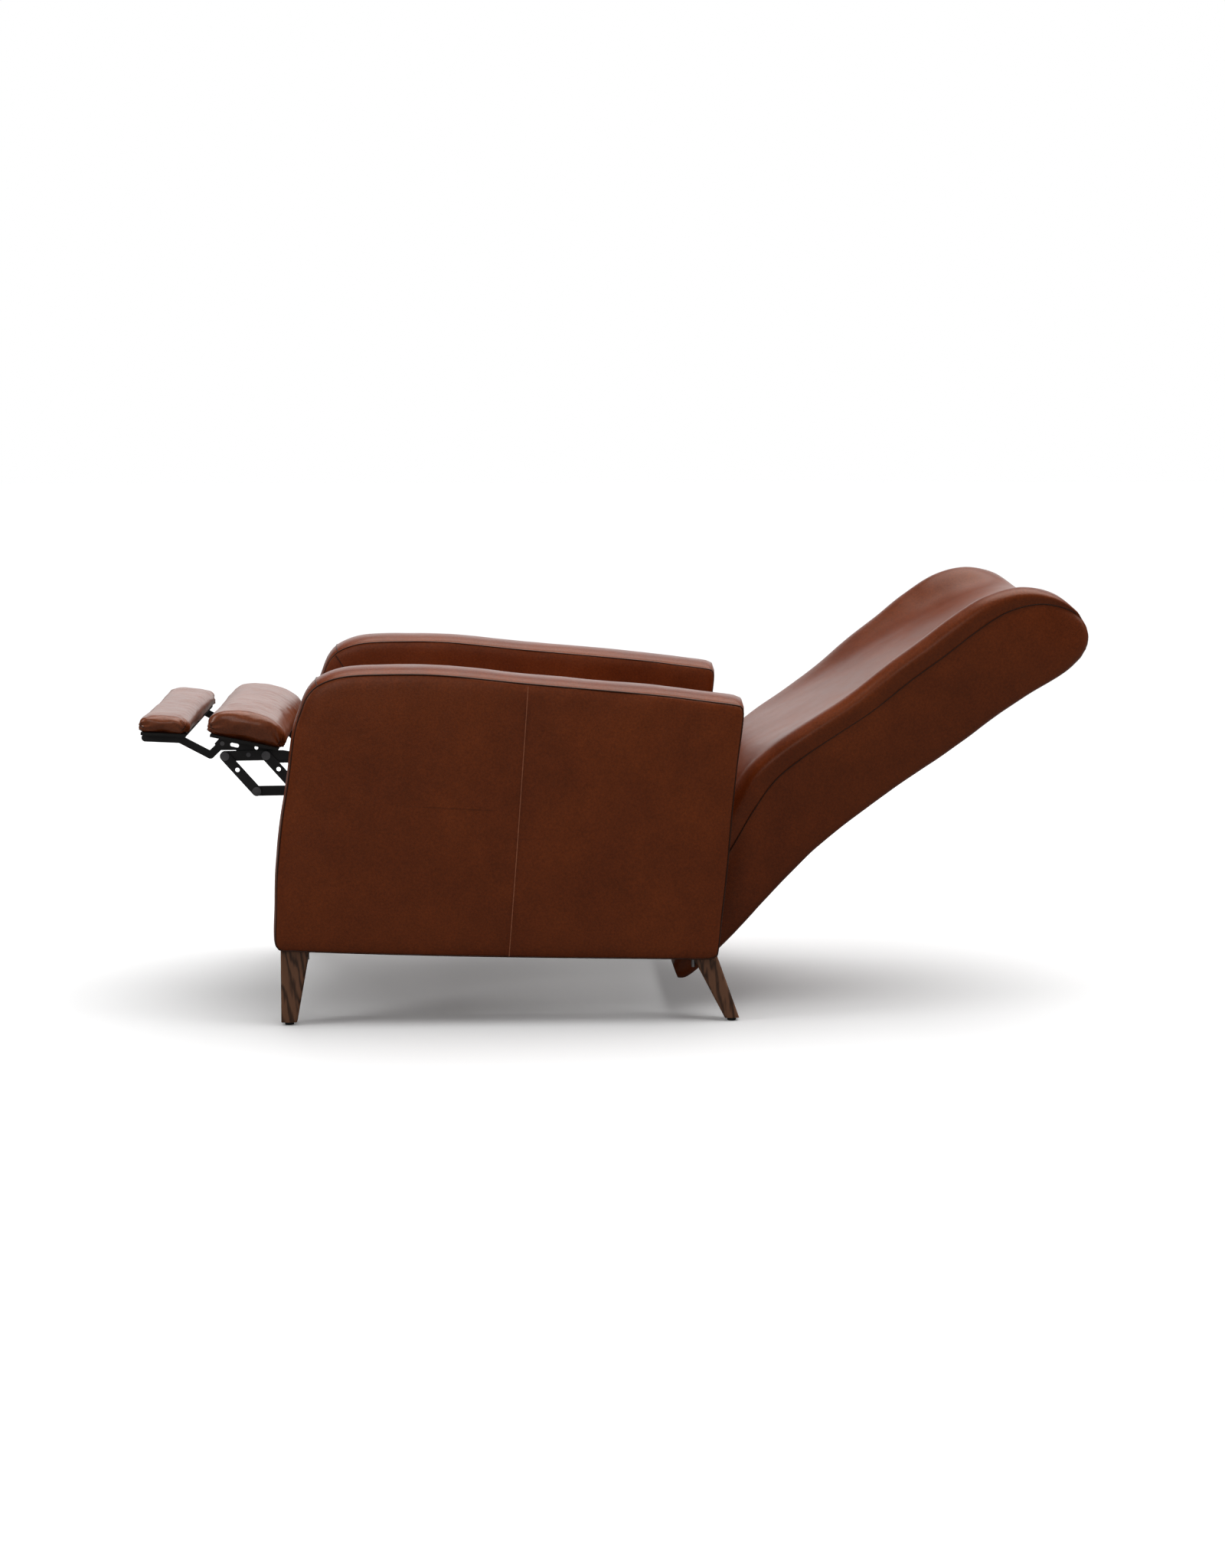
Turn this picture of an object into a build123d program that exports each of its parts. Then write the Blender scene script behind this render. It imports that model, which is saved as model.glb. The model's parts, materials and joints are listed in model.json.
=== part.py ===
from build123d import *
from math import atan2, cos, degrees, hypot, radians, sin
import os

# Reclining armchair, modelled open: back lowered and leg rest out.
# The sitter faces -Y, the sitter's left is +X, and the floor is Z = 0. All sizes are in mm.

# Driving dimensions
overall_width = 750
arm_thickness = 110
arm_inner = overall_width / 2 - arm_thickness
panel_thickness = 21
joint_gap = 0.6

pad_width = 490
pad_length = 140
pad_depth = 44
flap_width = 490
flap_length = 92
flap_depth = 27

leg_x = 330
glide_height = 6
glide_radius = 8
leg_bolt_radius = 4
bolt_clearance = 0.2

cushion_half_width = 260
seat_frame_half_width = 203
rail_width = 25

bar_width = 18
flap_bracket_width = 14
plate_thickness = 3
rivet_radius = 4
rivet_head_radius = 8
rivet_head_height = 3
fit_clearance = 0.09

# Links stand side by side, so each layer has its own place along X.
flap_layer = 209.6
bracket_layer = 213.2
bar_layer = 218
coupler_layer = 221.6
base_plate_layer = 228
base_plate_thickness = 4

# Leg-rest pivots as (Y, Z)
base_pivot = (-515, 458)
bar_end = (-695, 470)
bar_knee = (-592, 471)
rear_coupler_top = (-621, 471)
coupler_offset = (56, -64)
spare_hole_offset = (22, -25)
flap_pivot = (-700, 492)
flap_crank = (-722, 471)
bracket_rivet = (-653, 472)

# Back hinge as (Y, Z)
back_hinge = (165, 345)

# Sections of the back, from the bottom end to the top: rear point, front point, half width
# and how far from rear to front the cushion's face lies.
back_sections = [
    ((150, 64), (110, 84), 256, 1.0),
    ((227, 142), (140, 205), 256, 1.0),
    ((338, 262), (187, 345), 256, 1.06),
    ((449, 355), (245, 440), 257, 1.08),
    ((559, 438), (352, 521), 266, 0.97),
    ((697, 543), (480, 618), 290, 0.84),
    ((793, 606), (594, 704), 305, 0.72),
    ((840, 642), (700, 770), 307, 0.62),
    ((861, 673), (806, 757), 300, 0.62),
]
back_side_thickness = 44
back_panel_thickness = 14
post_width = 26

os.makedirs("parts", exist_ok=True)
sides = {"left": 1, "right": -1}


def save(piece, name):
    piece.part.label = name
    export_step(piece.part, f"parts/{name}.step")


def across(side, inner, outer):
    """The lower and upper X of a slab that lies between two distances from the middle."""
    low, high = sorted((side * inner, side * outer))
    return low, high


def moved(point, offset):
    return point[0] + offset[0], point[1] + offset[1]


def slab(points, low, high):
    """A flat piece with the given side outline, from X = low to X = high."""
    with BuildPart() as piece:
        with BuildSketch(Plane.YZ.offset(low)):
            with BuildLine():
                Polyline(*points, close=True)
            make_face()
        extrude(amount=high - low)
    return piece


def block(y_range, z_range, low, high):
    (y0, y1), (z0, z1) = y_range, z_range
    return slab([(y0, z0), (y1, z0), (y1, z1), (y0, z1)], low, high)


def link_shape(points, width):
    """A flat bar through the points, with round ends and round knees."""
    for start, end in zip(points, points[1:]):
        run = (end[0] - start[0], end[1] - start[1])
        middle = ((start[0] + end[0]) / 2, (start[1] + end[1]) / 2)
        with Locations(middle):
            SlotCenterToCenter(hypot(*run), width, rotation=degrees(atan2(run[1], run[0])))


def link(points, holes, low, high, width=bar_width, radius=rivet_radius + fit_clearance):
    with BuildPart() as piece:
        with BuildSketch(Plane.YZ.offset(low)):
            link_shape(points, width)
            with Locations(*holes):
                Circle(radius, mode=Mode.SUBTRACT)
        extrude(amount=high - low)
    return piece


def both_sides(make):
    """The left and right copies of one piece, kept as separate solids of one node."""
    with BuildPart() as pair:
        add(make(1).part)
        add(make(-1).part)
    return pair


# Arms

def arm_outline(rise):
    """The arm seen from the side. The middle of the top stands a little above the seams."""
    with BuildLine() as outline:
        Polyline((-526, 606), (-548, 567), (-571, 446), (-584, 365), (-595, 221), (-598, 156),
                 (-588, 141), (-531, 139), (-186, 127), (93, 121), (172, 119), (186, 130),
                 (192, 194), (210, 386), (226, 545), (227, 570))
        Spline((227, 570), (196, 579 + rise * 0.6), (64, 594 + rise), (-150, 614 + rise),
               (-377, 631 + rise), (-480, 627 + rise), (-526, 606))
    return outline


def arm_panel(low, high):
    with BuildPart() as piece:
        with BuildSketch(Plane.YZ.offset(low)):
            add(arm_outline(0).line)
            make_face()
        extrude(amount=high - low)
    return piece


def arm_band(low, high, keep_y, keep_z):
    """The part of the padded edge band that lies in the given Y and Z range."""
    (y0, y1), (z0, z1) = keep_y, keep_z
    with BuildPart() as piece:
        with BuildSketch(Plane.YZ.offset(low)):
            add(arm_outline(8).line)
            make_face()
            with BuildLine():
                Polyline(*band_inside, close=True)
            make_face(mode=Mode.SUBTRACT)
            with Locations(((y0 + y1) / 2, (z0 + z1) / 2)):
                Rectangle(y1 - y0, z1 - z0, mode=Mode.INTERSECT)
        extrude(amount=high - low)
    return piece


band_inside = [(-568, 142), (-565, 221), (-555, 365), (-542, 446), (-518, 560), (-500, 592),
               (-377, 603), (-150, 586), (64, 567), (196, 545), (182, 386), (164, 194), (160, 122)]
band_low = arm_inner + panel_thickness + joint_gap
band_high = overall_width / 2 - panel_thickness - joint_gap
bottom_rail_top = 175
top_pad_bottom = 541
for name, side in sides.items():
    outer = across(side, overall_width / 2 - panel_thickness, overall_width / 2)
    inner = across(side, arm_inner, arm_inner + panel_thickness)
    middle = across(side, band_low, band_high)
    save(arm_panel(*outer), f"arm_outer_panel_{name}")
    save(arm_panel(*inner), f"arm_inner_panel_{name}")
    save(arm_band(*middle, (-620, 260), (top_pad_bottom, 660)), f"arm_top_pad_{name}")
    front = (-620, -500)
    upright = (bottom_rail_top, top_pad_bottom - joint_gap)
    save(arm_band(*middle, front, upright), f"arm_front_band_{name}")
    save(arm_band(*middle, (120, 260), upright), f"arm_rear_band_{name}")


def arm_post(side, y_range, top):
    return block(y_range, (bottom_rail_top + 1, top), *across(side, band_low + 2, band_high - 2))


save(both_sides(lambda side: arm_post(side, (-508, -468), 566)), "arm_front_posts")
save(both_sides(lambda side: arm_post(side, (115, 155), 545)), "arm_rear_posts")

# Legs, with the bolt that holds each one and the glide under it

leg_tops = {"front": (-566, 138, 50), "rear": (165, 118, 44)}
leg_feet = {"front": (-579, 28), "rear": (214, 26)}
bolt_rise = 40


def bottom_rail(side):
    with BuildPart() as piece:
        with BuildSketch(Plane.YZ.offset(across(side, band_low, band_high)[0])):
            with BuildLine():
                Polyline((-568, 142), (-531, 141), (-186, 129), (93, 123), (160, 121.5),
                         (160, bottom_rail_top), (-568, bottom_rail_top), close=True)
            make_face()
        extrude(amount=band_high - band_low)
        for place in leg_tops.values():
            bolt_y = place[0] + (20 if place[0] < 0 else -20)
            with Locations((side * leg_x, bolt_y, bottom_rail_top - bolt_rise)):
                Cylinder(leg_bolt_radius + bolt_clearance, 3 * bolt_rise, mode=Mode.SUBTRACT)
    return piece


def leg(side, which):
    top_y, top_z, top_size = leg_tops[which]
    foot_y, foot_size = leg_feet[which]
    with BuildPart() as piece:
        with BuildSketch(Plane.XY.offset(glide_height)):
            with Locations((side * leg_x, foot_y)):
                RectangleRounded(foot_size, foot_size, 4)
        with BuildSketch(Plane.XY.offset(top_z)):
            with Locations((side * leg_x, top_y)):
                RectangleRounded(top_size, top_size, 4)
        loft()
        bolt_y = top_y + (20 if top_y < 0 else -20)
        with Locations((side * leg_x, bolt_y, top_z)):
            Cylinder(leg_bolt_radius + bolt_clearance, 2 * bolt_rise - 30, mode=Mode.SUBTRACT)
    return piece


for name, side in sides.items():
    save(bottom_rail(side), f"arm_bottom_rail_{name}")
    for which in leg_tops:
        save(leg(side, which), f"{which}_leg_{name}")

with BuildPart() as glides:
    for side in sides.values():
        for foot_y, foot_size in leg_feet.values():
            with BuildSketch():
                with Locations((side * leg_x, foot_y)):
                    Circle(glide_radius)
            extrude(amount=glide_height)
save(glides, "leg_glides")

with BuildPart() as leg_bolts:
    for side in sides.values():
        for top_y, top_z, top_size in leg_tops.values():
            bolt_y = top_y + (20 if top_y < 0 else -20)
            with BuildSketch(Plane.XY.offset(top_z - 20)):
                with Locations((side * leg_x, bolt_y)):
                    Circle(leg_bolt_radius)
            extrude(amount=bottom_rail_top - top_z + 15)
save(leg_bolts, "leg_bolts")

# Cross rails and steel rails that tie the arms together

save(block((-395, -365), (340, 385), -arm_inner + 1, arm_inner - 1), "front_cross_rail")
save(block((20, 50), (318, 356), -arm_inner + 1, arm_inner - 1), "rear_cross_rail")
lower_base_pivot = moved(base_pivot, coupler_offset)
base_plate_holes = [base_pivot, lower_base_pivot]


def mechanism_plate(side):
    low, high = across(side, base_plate_layer, base_plate_layer + base_plate_thickness)
    with BuildPart() as piece:
        with BuildSketch(Plane.YZ.offset(low)):
            with BuildLine():
                Polyline((-531, 472), (-500, 474), (-442, 412), (-402, 400), (-402, 340),
                         (-462, 340), (-474, 384), (-531, 444), close=True)
            make_face()
            with Locations(*base_plate_holes):
                Circle(rivet_radius + fit_clearance, mode=Mode.SUBTRACT)
        extrude(amount=high - low)
    return piece


def mechanism_rail(side):
    rail = across(side, base_plate_layer + base_plate_thickness + joint_gap, arm_inner - joint_gap)
    return block((-470, -402), (340, 380), *rail)


save(both_sides(mechanism_plate), "mechanism_plates")
save(both_sides(mechanism_rail), "mechanism_rails")


def rivets(points, start, end, head_start, head_end):
    """Round rivets on both sides. A head lies outside the start or the end, or both."""
    with BuildPart() as group:
        for side in sides.values():
            low, high = across(side, start, end)
            with BuildSketch(Plane.YZ.offset(low)):
                with Locations(*points):
                    Circle(rivet_radius)
            extrude(amount=high - low)
            heads = [(start - rivet_head_height, start)] * head_start
            heads += [(end, end + rivet_head_height)] * head_end
            for head in heads:
                low, high = across(side, *head)
                with BuildSketch(Plane.YZ.offset(low)):
                    with Locations(*points):
                        Circle(rivet_head_radius)
                extrude(amount=high - low)
    return group


base_plate_face = base_plate_layer + base_plate_thickness
save(rivets(base_plate_holes, bar_layer - 0.5, base_plate_face + 0.1, True, False), "base_pivot_pins")

# Leg rest: upper bars with the pad, lower bars, two couplers and the toe flap

bar_route = [base_pivot, bar_knee, bar_end]
pad_tilt = 12.2
pad_centre = (-658.5, 499)
flap_tilt = 3
flap_centre = (-803, 514)


def tilted_plane(centre, tilt, low):
    """A plane across X at the centre, turned so that its rear end drops by the tilt."""
    turn = radians(tilt)
    return Plane(origin=(low, *centre), x_dir=(0, cos(turn), -sin(turn)), z_dir=(1, 0, 0))


def resting_pad(centre, tilt, length, depth, width, crown):
    """A padded block that stands on its board, with a crowned top and rounded ends."""
    with BuildPart() as piece:
        with BuildSketch(tilted_plane(centre, tilt, -width / 2)):
            with BuildLine():
                Polyline((-length / 2, depth * 0.7), (-length / 2, 0), (length / 2, 0),
                         (length / 2, depth * 0.7))
                ThreePointArc((length / 2, depth * 0.7), (0, depth + crown),
                              (-length / 2, depth * 0.7))
            make_face()
        extrude(amount=width)
    return piece


def board(centre, tilt, length, width, thickness, drop):
    with BuildPart() as piece:
        with BuildSketch(tilted_plane(centre, tilt, -width / 2)):
            with Locations((0, -drop - thickness / 2)):
                Rectangle(length, thickness)
        extrude(amount=width)
    return piece


board_thickness = 5
save(resting_pad(pad_centre, pad_tilt, pad_length, pad_depth, pad_width, 6), "legrest_pad")
save(board(pad_centre, pad_tilt, pad_length - 16, pad_width - 16, board_thickness, 0.3), "legrest_board")
save(resting_pad(flap_centre, flap_tilt, flap_length, flap_depth, flap_width, 3), "toe_flap_pad")
save(board(flap_centre, flap_tilt, flap_length - 12, flap_width - 16, board_thickness, 0.3),
     "toe_flap_board")

front_coupler_route = [bar_end, moved(bar_end, coupler_offset)]
rear_coupler_route = [rear_coupler_top, moved(rear_coupler_top, coupler_offset)]
lower_route = [moved(point, coupler_offset) for point in bar_route]
lower_holes = [moved(point, coupler_offset) for point in (base_pivot, rear_coupler_top, bar_end)]


def pad_bracket(side):
    low, high = across(side, bracket_layer, bracket_layer + plate_thickness)
    with BuildPart() as piece:
        with BuildSketch(Plane.YZ.offset(low)):
            with BuildLine():
                Polyline((-714, 492), (-704, 503), (-600, 480.5), (-600, 470), (-645, 463),
                         (-662, 463), (-676, 480), (-706, 480), close=True)
            make_face()
            with Locations(flap_pivot, bracket_rivet):
                Circle(rivet_radius + fit_clearance, mode=Mode.SUBTRACT)
            with Locations((-639, 484)):
                Circle(3.5, mode=Mode.SUBTRACT)
            with Locations((-678, 489)):
                SlotOverall(16, 7, rotation=-pad_tilt, mode=Mode.SUBTRACT)
        extrude(amount=high - low)
    return piece


flap_route = [(-838, 503), (-776, 500), flap_crank]
flap_route += [flap_pivot]
upper_holes = [base_pivot, rear_coupler_top, bar_end, bracket_rivet]


def plate_pair(route, holes, start, width=bar_width):
    def one(side):
        return link(route, holes, *across(side, start, start + plate_thickness), width)
    return both_sides(one)


for name, side in sides.items():
    layer = across(side, bar_layer, bar_layer + plate_thickness)
    save(link(bar_route, upper_holes, *layer), f"upper_bar_{name}")
    save(link(lower_route, lower_holes, *layer), f"lower_bar_{name}")
save(both_sides(pad_bracket), "pad_brackets")
for name, route in (("front", front_coupler_route), ("rear", rear_coupler_route)):
    holes = [*route, moved(route[0], spare_hole_offset)]
    save(plate_pair(route, holes, coupler_layer), f"{name}_couplers")
save(plate_pair(flap_route, [flap_pivot], flap_layer, flap_bracket_width), "flap_brackets")

coupler_face = coupler_layer + plate_thickness
upper_pins = [bar_end, rear_coupler_top]
save(rivets(upper_pins, bar_layer, coupler_face + 0.2, False, True), "upper_link_rivets")
save(rivets(lower_holes[1:], bar_layer, coupler_face + 0.2, False, True), "lower_link_rivets")
save(rivets([flap_pivot], flap_layer - 0.2, bracket_layer + plate_thickness, True, False),
     "flap_pivot_rivets")
save(rivets([bracket_rivet], bracket_layer, bar_layer + plate_thickness, False, False),
     "pad_bracket_rivets")

# Seat, which slides forward on its rails as the back goes down

rail_inner = seat_frame_half_width - rail_width
side_rail_outline = [(-540, 402), (-540, 440), (95, 398), (95, 360)]
save(both_sides(lambda side: slab(side_rail_outline, *across(side, rail_inner, seat_frame_half_width))),
     "seat_side_rails")
cross = (-rail_inner + joint_gap, rail_inner - joint_gap)
save(block((-538, -512), (402, 436), *cross), "seat_front_rail")
save(block((66, 92), (362, 398), *cross), "seat_rear_rail")
with BuildPart() as seat_roll:
    with BuildSketch(Plane.YZ.offset(-seat_frame_half_width)):
        with BuildLine():
            Polyline((-541, 402), (-541, 442), (90, 400), (90, 420), (-530, 482), (-544, 480))
            ThreePointArc((-544, 480), (-555, 440), (-548, 405))
            Line((-548, 405), (-541, 402))
        make_face()
    extrude(amount=2 * seat_frame_half_width)
save(seat_roll, "seat_deck_pad")
with BuildPart() as seat_cushion:
    with BuildSketch(Plane.YZ.offset(-cushion_half_width)):
        with BuildLine():
            Polyline((-556, 500), (-540, 487), (90, 424), (112, 440), (100, 484))
            Spline((100, 484), (-200, 520), (-480, 546), (-548, 532), (-556, 500))
        make_face()
    extrude(amount=2 * cushion_half_width)
save(seat_cushion, "seat_cushion")


def sinuous_spring(start, end, spans, half_width, wire):
    """A zigzag wire between two points of the side view, bent into rounded waves."""
    step_y = (end[0] - start[0]) / spans
    step_z = (end[1] - start[1]) / spans
    plane = Plane(origin=(0, *start), x_dir=(1, 0, 0), z_dir=(0, -step_z, step_y))
    step = hypot(step_y, step_z)
    points = [(0, 0), (0, step / 2)]
    for turn in range(1, spans):
        reach = half_width if turn % 2 else -half_width
        points += [(reach, step * (turn - 0.5)), (reach, step * (turn + 0.5))]
    points += [(0, step * (spans - 0.5)), (0, step * spans)]
    with BuildPart() as spring:
        with BuildLine(plane) as path:
            FilletPolyline(*points, radius=step * 0.4)
        with BuildSketch(path.line ^ 0):
            Circle(wire)
        sweep()
    return spring


seat_spring = sinuous_spring((-511, 427), (65, 389), 17, 24, 1.7)
with BuildPart() as seat_springs:
    for place in (-120, -40, 40, 120):
        add(Pos(place, 0, 0) * seat_spring.part)
save(seat_springs, "seat_springs")


hinge_pin_radius = 6
seat_hinge_layer = rail_inner - base_plate_thickness - joint_gap
back_hinge_layer = seat_hinge_layer - base_plate_thickness - 1
hinge_hole = hinge_pin_radius + fit_clearance


def hinge_arm(side, points, layer_start):
    low, high = across(side, layer_start, layer_start + base_plate_thickness)
    return link(points, [back_hinge], low, high, 26, hinge_hole)


save(both_sides(lambda side: hinge_arm(side, [(105, 372), back_hinge], seat_hinge_layer)),
     "seat_hinge_plates")
save(both_sides(lambda side: hinge_arm(side, [back_hinge, (237, 262)], back_hinge_layer)),
     "back_hinge_brackets")
with BuildPart() as hinge_pins:
    for side in sides.values():
        low, high = across(side, back_hinge_layer - 0.5, seat_hinge_layer + base_plate_thickness)
        with BuildSketch(Plane.YZ.offset(low)):
            with Locations(back_hinge):
                Circle(hinge_pin_radius)
        extrude(amount=high - low)
        low, high = across(side, back_hinge_layer - 4, back_hinge_layer - 0.5)
        with BuildSketch(Plane.YZ.offset(low)):
            with Locations(back_hinge):
                Circle(hinge_pin_radius + 4)
        extrude(amount=high - low)
save(hinge_pins, "hinge_pins")

# Back: a padded shell of a rear panel and two wings, around a wooden frame and a cushion


def back_loft(rows, sections):
    """Joins four-cornered sections. Each row gives low and high X, and low and high depth."""
    with BuildPart() as piece:
        for (rear, front, _, _), (x0, x1, d0, d1) in zip(sections, rows):
            run = (front[0] - rear[0], front[1] - rear[1])
            plane = Plane(origin=(0, *rear), x_dir=(1, 0, 0), z_dir=(0, -run[1], run[0]))
            with BuildSketch(plane):
                with BuildLine():
                    Polyline((x0, d0), (x1, d0), (x1, d1), (x0, d1), close=True)
                make_face()
        loft(ruled=True)
    return piece


def depth_of(section):
    rear, front = section[0], section[1]
    return hypot(front[0] - rear[0], front[1] - rear[1])


panel_rows = [(-half + back_side_thickness + joint_gap, half - back_side_thickness - joint_gap,
               0, back_panel_thickness) for _, _, half, _ in back_sections]
save(back_loft(panel_rows, back_sections), "back_rear_panel")
post_sections = back_sections[1:8]
cushion_sections = back_sections[2:]
post_share = 0.4
for name, side in sides.items():
    rows = [(*across(side, section[2] - back_side_thickness, section[2]), 0, depth_of(section))
            for section in back_sections]
    save(back_loft(rows, back_sections), f"back_wing_{name}")
    rows = []
    for section in post_sections:
        outer = section[2] - back_side_thickness - 2
        rows.append((*across(side, outer - post_width, outer), back_panel_thickness + 1,
                     depth_of(section) * post_share))
    save(back_loft(rows, post_sections), f"back_post_{name}")
rows = []
for section in cushion_sections:
    half = section[2] - back_side_thickness - 1.5
    rows.append((-half, half, depth_of(section) * (post_share + 0.03), depth_of(section) * section[3]))
save(back_loft(rows, cushion_sections), "back_cushion")


def back_rail(section, share, thickness):
    """A cross rail between the posts, seen end on at the given section of the back."""
    rear, front, half, _ = section
    deep = depth_of(section)
    run = ((front[0] - rear[0]) / deep, (front[1] - rear[1]) / deep)
    low = back_panel_thickness + 4
    high = deep * share
    points = []
    for along, depth in ((0, low), (0, high), (thickness, high), (thickness, low)):
        points.append((rear[0] + run[0] * depth - run[1] * along,
                       rear[1] + run[1] * depth + run[0] * along))
    reach = half - back_side_thickness - post_width - 4
    return slab(points, -reach, reach)


save(back_rail(back_sections[2], 0.34, -24), "back_lower_rail")
save(back_rail(back_sections[7], 0.34, 24), "back_top_rail")

# Springs across the back, hung between the lower and the top rail
back_spring = sinuous_spring((326, 303), (784, 652), 15, 24, 1.7)
with BuildPart() as back_springs:
    for place in (-110, 0, 110):
        add(Pos(place, 0, 0) * back_spring.part)
save(back_springs, "back_springs")
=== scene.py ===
import bpy
import json
import math
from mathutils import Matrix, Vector, noise


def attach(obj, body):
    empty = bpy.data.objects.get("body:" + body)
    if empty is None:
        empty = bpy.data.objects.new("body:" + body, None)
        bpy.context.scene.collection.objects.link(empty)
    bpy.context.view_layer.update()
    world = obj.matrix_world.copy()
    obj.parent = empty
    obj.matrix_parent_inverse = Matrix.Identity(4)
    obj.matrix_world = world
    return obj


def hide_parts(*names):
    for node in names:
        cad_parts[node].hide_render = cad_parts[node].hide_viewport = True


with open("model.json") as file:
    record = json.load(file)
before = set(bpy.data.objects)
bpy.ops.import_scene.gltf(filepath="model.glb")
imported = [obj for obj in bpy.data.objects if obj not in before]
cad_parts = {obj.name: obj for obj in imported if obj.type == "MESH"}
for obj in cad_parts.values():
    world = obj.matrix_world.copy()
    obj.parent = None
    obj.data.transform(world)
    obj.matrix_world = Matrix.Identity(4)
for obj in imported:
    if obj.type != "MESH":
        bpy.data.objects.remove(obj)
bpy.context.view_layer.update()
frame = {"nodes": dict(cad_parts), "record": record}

nodes = frame["nodes"]
print("frame loaded:", len(nodes), "nodes")

# Camera, lights and floor. The chair is seen from its left side, a little from above.
stage = {
    "cameraAt": (5.01, -0.211, 1.1116), "lens": 61.2, "pitch": 8.273, "yaw": 2.573,
    "floorColor": (0.95, 0.95, 0.95, 1), "floorBounce": (0.20, 0.19, 0.18, 1), "floorGlow": 0.10,
    "worldStrength": 0.10, "backdropStrength": 1.0, "sensorHeight": 36, "floorRoughness": 0.9,
    "skyPower": 2.9, "skySpread": 70, "skyTilt": (-12, -8, 0),
}


def areaLight(name, place, aim, size, power):
    data = bpy.data.lights.new(name, "AREA")
    data.shape = "RECTANGLE"
    data.size, data.size_y = size
    data.energy = power
    lamp = bpy.data.objects.new(name, data)
    bpy.context.collection.objects.link(lamp)
    lamp.location = place
    lamp.visible_camera = False
    lamp.rotation_euler = (Vector(aim) - Vector(place)).to_track_quat("-Z", "Y").to_euler()


def buildStage():
    data = bpy.data.cameras.new("chairCamera")
    data.lens = stage["lens"]
    data.sensor_fit = "VERTICAL"
    data.sensor_height = stage["sensorHeight"]
    camera = bpy.data.objects.new("chairCamera", data)
    bpy.context.collection.objects.link(camera)
    camera.location = stage["cameraAt"]
    turn = math.radians(90 - stage["yaw"])
    camera.rotation_euler = (math.radians(90 - stage["pitch"]), 0, turn)
    bpy.context.scene.camera = camera
    bpy.ops.mesh.primitive_plane_add(size=60, location=(0, 0, 0))
    floor = bpy.context.object
    floor.name = "floor"
    material = bpy.data.materials.new("paleFloor")
    material.use_nodes = True
    # The floor looks white, but throws little light back up at the chair
    tree = material.node_tree
    shader = tree.nodes["Principled BSDF"]
    shader.inputs["Base Color"].default_value = stage["floorColor"]
    shader.inputs["Roughness"].default_value = stage["floorRoughness"]
    shader.inputs["Emission Color"].default_value = (1, 1, 1, 1)
    shader.inputs["Emission Strength"].default_value = stage["floorGlow"]
    muted = tree.nodes.new("ShaderNodeBsdfDiffuse")
    muted.inputs["Color"].default_value = stage["floorBounce"]
    choice = tree.nodes.new("ShaderNodeMixShader")
    ray = tree.nodes.new("ShaderNodeLightPath")
    tree.links.new(ray.outputs["Is Camera Ray"], choice.inputs[0])
    tree.links.new(muted.outputs[0], choice.inputs[1])
    tree.links.new(shader.outputs[0], choice.inputs[2])
    tree.links.new(choice.outputs[0], tree.nodes["Material Output"].inputs["Surface"])
    floor.data.materials.append(material)
    world = bpy.data.worlds.new("softWorld")
    world.use_nodes = True
    bpy.context.scene.world = world
    bpy.context.scene.view_settings.view_transform = "Standard"
    # The studio room is dim, and the white backdrop shows only behind the chair
    tree = world.node_tree
    room = tree.nodes["Background"]
    room.inputs["Color"].default_value = (1, 1, 1, 1)
    room.inputs["Strength"].default_value = stage["worldStrength"]
    backdrop = tree.nodes.new("ShaderNodeBackground")
    backdrop.inputs["Color"].default_value = (1, 1, 1, 1)
    backdrop.inputs["Strength"].default_value = stage["backdropStrength"]
    choice = tree.nodes.new("ShaderNodeMixShader")
    ray = tree.nodes.new("ShaderNodeLightPath")
    tree.links.new(ray.outputs["Is Camera Ray"], choice.inputs[0])
    tree.links.new(room.outputs[0], choice.inputs[1])
    tree.links.new(backdrop.outputs[0], choice.inputs[2])
    tree.links.new(choice.outputs[0], tree.nodes["World Output"].inputs["Surface"])
    skyData = bpy.data.lights.new("overheadSky", "SUN")
    skyData.energy = stage["skyPower"]
    skyData.angle = math.radians(stage["skySpread"])
    sky = bpy.data.objects.new("overheadSky", skyData)
    bpy.context.collection.objects.link(sky)
    sky.rotation_euler = [math.radians(angle) for angle in stage["skyTilt"]]
    areaLight("backPanel", (-3.4, 0.1, 1.7), (0, 0, 0.6), (5.0, 2.2), 32)
    areaLight("frontLight", (1.4, -3.8, 2.6), (0, -0.2, 0.5), (1.2, 1.6), 34)
    areaLight("rearLight", (1.8, 3.6, 2.6), (0, 0.4, 0.6), (1.2, 1.6), 20)
    areaLight("sideLight", (4.6, -1.2, 2.2), (0, -0.1, 0.4), (1.0, 2.0), 16)


buildStage()
print("stage built")


# Materials

def group(name, inputs, outputs):
    tree = bpy.data.node_groups.new(name, "ShaderNodeTree")
    for label, kind, value in inputs:
        socket = tree.interface.new_socket(name=label, in_out="INPUT", socket_type=kind)
        socket.default_value = value
    for label, kind in outputs:
        tree.interface.new_socket(name=label, in_out="OUTPUT", socket_type=kind)
    return tree, tree.nodes.new("NodeGroupInput"), tree.nodes.new("NodeGroupOutput")


def node(tree, kind, **values):
    made = tree.nodes.new(kind)
    for label, value in values.items():
        if hasattr(made, label):
            setattr(made, label, value)
        else:
            made.inputs[label.replace("_", " ")].default_value = value
    return made


def ramp(tree, low, high, lowColor=(0, 0, 0, 1), highColor=(1, 1, 1, 1)):
    made = tree.nodes.new("ShaderNodeValToRGB")
    made.color_ramp.elements[0].position = low
    made.color_ramp.elements[1].position = high
    made.color_ramp.elements[0].color = lowColor
    made.color_ramp.elements[1].color = highColor
    return made


def mixColor(tree, blendType="MIX", factor=0.5):
    made = tree.nodes.new("ShaderNodeMix")
    made.data_type = "RGBA"
    made.blend_type = blendType
    made.inputs["Factor"].default_value = factor
    return made


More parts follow.
